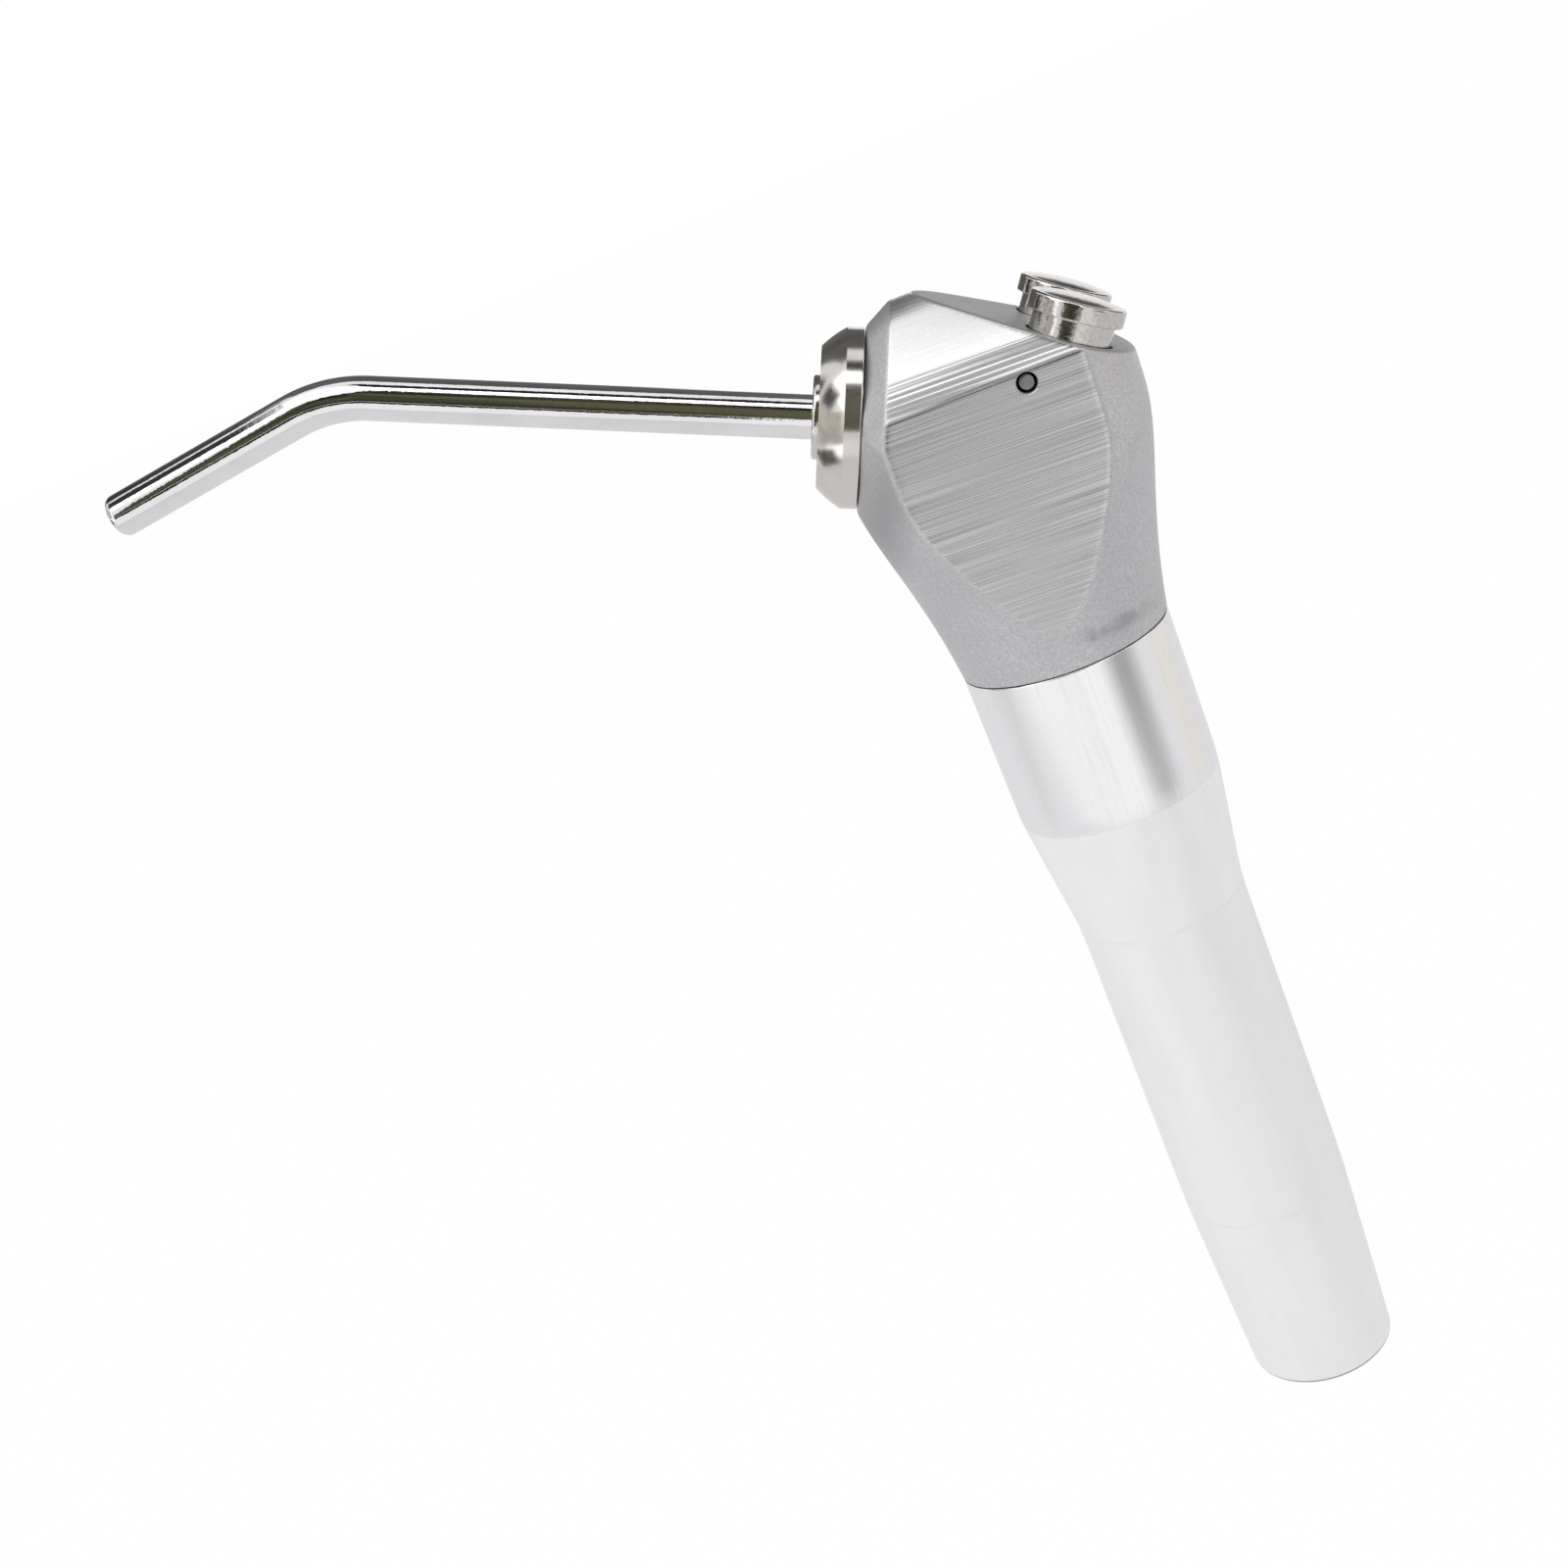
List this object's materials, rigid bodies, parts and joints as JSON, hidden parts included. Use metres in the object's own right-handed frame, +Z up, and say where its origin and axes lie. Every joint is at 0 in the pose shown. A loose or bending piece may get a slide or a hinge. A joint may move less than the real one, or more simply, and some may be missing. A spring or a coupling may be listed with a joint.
{
  "type": "three-way dental syringe",
  "caption": "Hand-held air and water spray syringe with a bent swivelling metal nozzle, a flared valve head with sprung push buttons and a hollow tapered handle for its tubing.",
  "frame": {"origin": "centre of the handle's hose end", "axes": "+Z up the handle's axis to the head, -X the side the nozzle points to, X-Z the plane of symmetry"},
  "size_m": [0.0916, 0.021, 0.1282],
  "materials": {
    "blasted_aluminium": "bead blasted, milled side flats",
    "bare_aluminium": "turned and polished",
    "chrome": "polished plate",
    "steel": "drawn stainless steel",
    "brass": "turned",
    "rubber": "moulded nitrile",
    "nylon": "punched sheet"
  },
  "bodies": {
    "handpiece": {"head_body": "blasted_aluminium", "handle_sleeve": "bare_aluminium", "sleeve_o_ring": "rubber", "air_hose_barb": "brass", "water_hose_barb": "brass", "air_barb_gasket": "nylon", "water_barb_gasket": "nylon", "air_button_spring": "steel", "water_button_spring": "steel", "retaining_pin": "steel", "nozzle_collet": "chrome", "nozzle_front_o_ring": "rubber", "nozzle_gland_ring": "brass", "nozzle_rear_o_ring": "rubber", "water_tube_o_ring": "rubber"},
    "nozzle": {"nozzle_tube": "chrome", "nozzle_water_tube": "steel"},
    "nut": {"nozzle_nut": "chrome"},
    "air_push": {"air_button": "chrome", "air_valve_stem": "brass", "air_stem_upper_o_ring": "rubber", "air_stem_lower_o_ring": "rubber"},
    "water_push": {"water_button": "chrome", "water_valve_stem": "brass", "water_stem_upper_o_ring": "rubber", "water_stem_lower_o_ring": "rubber"}
  },
  "joints": [
    {"name": "air_button_press", "type": "slide", "parent": "handpiece", "child": "air_push", "axis": [-0.5736, 0, -0.8192], "range_m": [0, 0.0015], "stiffness_N_per_m": 2500, "springref_m": -0.002, "deforming": ["air_button_spring"]},
    {"name": "water_button_press", "type": "slide", "parent": "handpiece", "child": "water_push", "axis": [-0.5736, 0, -0.8192], "range_m": [0, 0.0015], "stiffness_N_per_m": 2500, "springref_m": -0.002, "deforming": ["water_button_spring"]},
    {"name": "nozzle_swivel", "type": "hinge", "parent": "handpiece", "child": "nozzle", "pos_m": [0, 0, 0.1027], "axis": [-0.9135, 0, 0.4067], "continuous": true},
    {"name": "nozzle_nut_turn", "type": "hinge", "parent": "handpiece", "child": "nut", "pos_m": [0, 0, 0.1027], "axis": [-0.9135, 0, 0.4067], "range_deg": [0, 90]}
  ]
}
